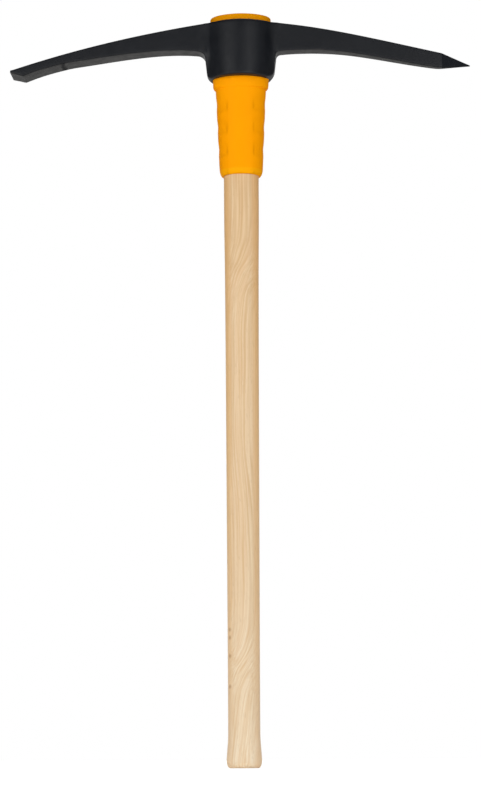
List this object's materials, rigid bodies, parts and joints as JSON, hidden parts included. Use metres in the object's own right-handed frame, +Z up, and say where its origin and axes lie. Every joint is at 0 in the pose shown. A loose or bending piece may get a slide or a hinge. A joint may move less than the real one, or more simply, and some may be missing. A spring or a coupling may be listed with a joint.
{
  "type": "clay pick",
  "caption": "Clay pick: forged steel head with a chisel blade and a point, slip-fitted from above on an oval hickory handle with a moulded guard collar.",
  "frame": {"origin": "centre of the flat end of the handle's butt", "axes": "+Z up the handle to the head, +X from the eye to the point, -X to the chisel blade, -Y to the front"},
  "size_m": [0.5644, 0.0666, 0.9144],
  "materials": {
    "forged_steel_black": "forged and ground steel under a satin black powder coat",
    "hickory": "straight-grained hickory under a thin satin lacquer",
    "collar_polymer": "amber yellow overmoulded polymer with a fine matt mould texture"
  },
  "bodies": {
    "head": {"pick_head": "forged_steel_black"},
    "handle": {"handle": "hickory", "guard_collar": "collar_polymer"}
  },
  "joints": [
    {"name": "handle_draw", "type": "slide", "parent": "head", "child": "handle", "axis": [0, 0, 1], "range_m": [0, 0.9]}
  ]
}
